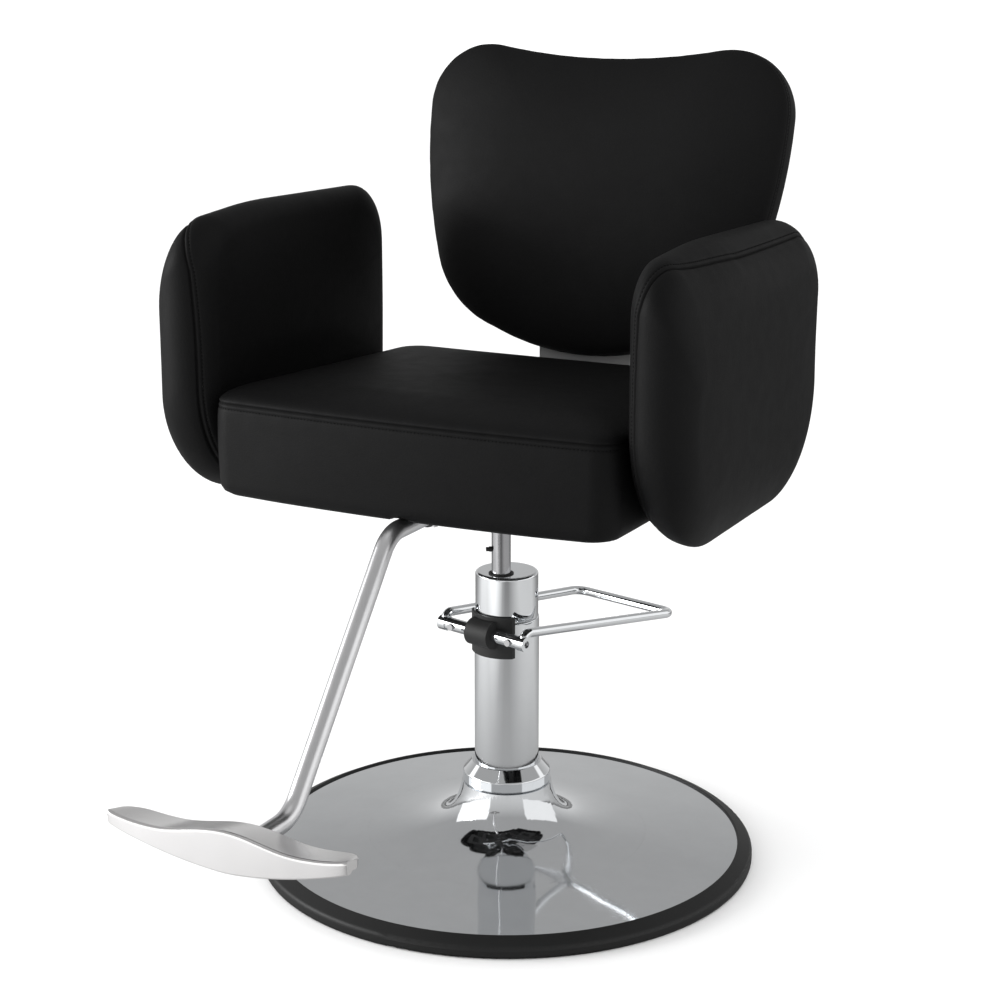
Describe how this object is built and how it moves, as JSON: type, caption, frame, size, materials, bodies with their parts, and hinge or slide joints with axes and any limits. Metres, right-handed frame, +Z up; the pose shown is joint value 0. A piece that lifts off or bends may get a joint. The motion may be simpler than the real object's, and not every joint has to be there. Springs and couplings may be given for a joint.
{
  "type": "hairdressing chair",
  "caption": "Salon styling chair with a padded seat, plump arms and a shield-shaped back, a T-bar footrest, and a hydraulic foot-pump column on a round base.",
  "frame": {"origin": "on the floor, on the axis of the round base", "axes": "+Z up, -Y the way the sitter faces, +X the sitter's left"},
  "size_m": [0.6508, 0.9242, 0.9568],
  "materials": {
    "chrome_plate": "mirror-bright plating",
    "black_rubber": "matte moulded rubber",
    "cast_body": "machined casting",
    "black_paint": "satin powder coat",
    "gray_paint": "satin powder coat",
    "bright_steel": "zinc-plated fasteners",
    "bush_bronze": "sintered bronze",
    "plywood": "plain plywood",
    "black_vinyl": "fine-grained satin upholstery",
    "liner_cloth": "thin woven dust cover",
    "satin_aluminium": "satin",
    "polished_aluminium": "polished casting"
  },
  "bodies": {
    "base": {"edge_ring": "black_rubber", "base_plate": "black_paint", "base_disc": "chrome_plate", "dome_cover": "chrome_plate", "collar_ring": "chrome_plate", "pump_cylinder": "cast_body", "flange_bolts": "bright_steel", "cylinder_sleeve": "chrome_plate", "pump_head": "chrome_plate", "head_cap": "chrome_plate", "ram_bush": "bush_bronze", "ram_wiper": "black_rubber", "rocker_boot": "black_rubber", "rocker_bushes": "bush_bronze", "plunger_spring": "bright_steel"},
    "pedal": {"rocker_shaft": "chrome_plate", "rocker_lever": "bright_steel", "rocker_sleeve_left": "chrome_plate", "rocker_sleeve_right": "chrome_plate", "pedal_loop": "chrome_plate", "pedal_end_screws": "bright_steel", "sleeve_set_screws": "bright_steel"},
    "plunger": {"pump_plunger": "bright_steel", "plunger_seal": "black_rubber"},
    "ram": {"ram": "chrome_plate", "piston": "bright_steel", "piston_seals": "black_rubber", "stop_pin": "bright_steel", "thrust_washer": "bush_bronze"},
    "chair": {"arm_bracket_bolts": "bright_steel", "arm_bracket_left": "black_paint", "arm_bracket_right": "black_paint", "arm_core_left": "plywood", "arm_core_right": "plywood", "arm_pad_left": "black_vinyl", "arm_pad_right": "black_vinyl", "back_board": "plywood", "back_bolts": "bright_steel", "back_bracket": "gray_paint", "back_bracket_bolts": "bright_steel", "back_pad": "black_vinyl", "back_panel": "black_vinyl", "footrest_bar": "polished_aluminium", "footrest_screws": "bright_steel", "footrest_socket": "black_paint", "footrest_tube": "satin_aluminium", "hub_bolts": "bright_steel", "hub_bush": "bush_bronze", "hub_lock_screw": "bright_steel", "seat_board": "plywood", "seat_bolts": "bright_steel", "seat_cushion": "black_vinyl", "seat_frame": "black_paint", "seat_liner": "liner_cloth", "socket_bolts": "bright_steel", "swivel_hub": "black_paint"}
  },
  "joints": [
    {"name": "lift", "type": "slide", "parent": "base", "child": "ram", "axis": [0, 0, 1], "range_m": [-0.026, 0.12]},
    {"name": "swivel", "type": "hinge", "parent": "ram", "child": "chair", "pos_m": [0, -0.015, 0.44], "axis": [0, 0, 1], "continuous": true},
    {"name": "pedal_press", "type": "hinge", "parent": "base", "child": "pedal", "pos_m": [-0.0103, -0.04072, 0.2882], "axis": [-0.9694, 0.2453, 0], "range_deg": [0, 20], "stiffness_Nm_per_rad": 3, "springref_deg": -28.65},
    {"name": "plunger_stroke", "type": "slide", "parent": "base", "child": "plunger", "axis": [0, 0, -1], "range_m": [0, 0.0037], "deforming": ["plunger_spring"]}
  ],
  "couplings": [
    {"joint": "plunger_stroke", "follows": "pedal_press", "m_per_rad": 0.0104}
  ]
}
